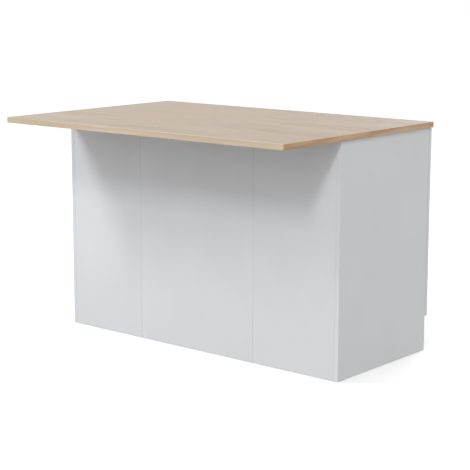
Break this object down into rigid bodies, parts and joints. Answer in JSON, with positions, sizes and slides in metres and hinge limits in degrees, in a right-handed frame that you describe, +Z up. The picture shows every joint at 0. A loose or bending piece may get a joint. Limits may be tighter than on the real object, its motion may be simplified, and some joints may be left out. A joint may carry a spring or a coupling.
{
  "type": "kitchen island unit",
  "caption": "Kitchen island with a long overhanging worktop, two hinged-door cupboards and a middle bay of sliding drawers.",
  "frame": {"origin": "on the floor, below the middle of the whole unit's bounding box", "axes": "+Z up, +X along the worktop's long edge, the doors and drawers face -Y and the knee space is on the +Y side"},
  "size_m": [1.38, 0.97, 0.9],
  "materials": {
    "oak_laminate": "matt light oak laminate",
    "white_melamine": "matt white melamine",
    "brushed_handle": "brushed",
    "plated_steel": "zinc plated",
    "beech_dowel": "raw beech",
    "nylon_glide": "matt"
  },
  "bodies": {
    "carcass": {"worktop": "oak_laminate", "side_panel_left": "white_melamine", "side_panel_right": "white_melamine", "divider_left": "white_melamine", "divider_right": "white_melamine", "bottom_panel_left": "white_melamine", "bottom_panel_centre": "white_melamine", "bottom_panel_right": "white_melamine", "back_panel_left": "white_melamine", "back_panel_centre": "white_melamine", "back_panel_right": "white_melamine", "plinth_left": "white_melamine", "plinth_centre": "white_melamine", "plinth_right": "white_melamine", "front_rail": "white_melamine", "rear_rail": "white_melamine", "shelf_left": "white_melamine", "shelf_right": "white_melamine", "shelf_pins": "plated_steel", "cam_locks": "plated_steel", "cam_bolts": "plated_steel", "wood_dowels": "beech_dowel", "floor_glides": "nylon_glide", "worktop_screws": "plated_steel", "rail_screws": "plated_steel", "small_screws": "plated_steel", "hinge_arms": "plated_steel", "hinge_plates": "plated_steel", "slide_outers": "plated_steel"},
    "links_left": {"hinge_links_left": "plated_steel"},
    "door_left": {"door_left": "white_melamine", "door_handle_left": "brushed_handle", "hinge_cups_left": "plated_steel"},
    "links_right": {"hinge_links_right": "plated_steel"},
    "door_right": {"door_right": "white_melamine", "door_handle_right": "brushed_handle", "hinge_cups_right": "plated_steel"},
    "drawer_top": {"drawer_top_front": "white_melamine", "drawer_top_sides": "white_melamine", "drawer_top_back": "white_melamine", "drawer_top_base": "white_melamine", "drawer_top_handle": "brushed_handle", "drawer_top_slides": "plated_steel"},
    "slide_middles_top": {"slide_middles_top": "plated_steel"},
    "drawer_middle": {"drawer_middle_front": "white_melamine", "drawer_middle_sides": "white_melamine", "drawer_middle_back": "white_melamine", "drawer_middle_base": "white_melamine", "drawer_middle_handle": "brushed_handle", "drawer_middle_slides": "plated_steel"},
    "slide_middles_middle": {"slide_middles_middle": "plated_steel"},
    "drawer_bottom": {"drawer_bottom_front": "white_melamine", "drawer_bottom_sides": "white_melamine", "drawer_bottom_back": "white_melamine", "drawer_bottom_base": "white_melamine", "drawer_bottom_handle": "brushed_handle", "drawer_bottom_slides": "plated_steel"},
    "slide_middles_bottom": {"slide_middles_bottom": "plated_steel"}
  },
  "joints": [
    {"name": "hinge_link_left", "type": "hinge", "parent": "carcass", "child": "links_left", "pos_m": [-0.649, -0.445, 0.5065], "axis": [0, 0, -1], "range_deg": [-45.5, 0]},
    {"name": "door_left_swing", "type": "hinge", "parent": "links_left", "child": "door_left", "pos_m": [-0.67, -0.442, 0.5065], "axis": [0, 0, -1], "range_deg": [0, 140]},
    {"name": "hinge_link_right", "type": "hinge", "parent": "carcass", "child": "links_right", "pos_m": [0.649, -0.445, 0.5065], "axis": [0, 0, 1], "range_deg": [-45.5, 0]},
    {"name": "door_right_swing", "type": "hinge", "parent": "links_right", "child": "door_right", "pos_m": [0.67, -0.442, 0.5065], "axis": [0, 0, 1], "range_deg": [0, 140]},
    {"name": "drawer_top_slide", "type": "slide", "parent": "carcass", "child": "drawer_top", "axis": [0, -1, 0], "range_m": [0, 0.45]},
    {"name": "slide_middles_top_slide", "type": "slide", "parent": "carcass", "child": "slide_middles_top", "axis": [0, -1, 0], "range_m": [0, 0.226]},
    {"name": "drawer_middle_slide", "type": "slide", "parent": "carcass", "child": "drawer_middle", "axis": [0, -1, 0], "range_m": [0, 0.45]},
    {"name": "slide_middles_middle_slide", "type": "slide", "parent": "carcass", "child": "slide_middles_middle", "axis": [0, -1, 0], "range_m": [0, 0.226]},
    {"name": "drawer_bottom_slide", "type": "slide", "parent": "carcass", "child": "drawer_bottom", "axis": [0, -1, 0], "range_m": [0, 0.45]},
    {"name": "slide_middles_bottom_slide", "type": "slide", "parent": "carcass", "child": "slide_middles_bottom", "axis": [0, -1, 0], "range_m": [0, 0.226]}
  ],
  "couplings": [
    {"joint": "hinge_link_left", "follows": "door_left_swing", "ratio": -0.32143},
    {"joint": "hinge_link_right", "follows": "door_right_swing", "ratio": -0.32143},
    {"joint": "slide_middles_top_slide", "follows": "drawer_top_slide", "ratio": 0.5},
    {"joint": "slide_middles_middle_slide", "follows": "drawer_middle_slide", "ratio": 0.5},
    {"joint": "slide_middles_bottom_slide", "follows": "drawer_bottom_slide", "ratio": 0.5}
  ]
}
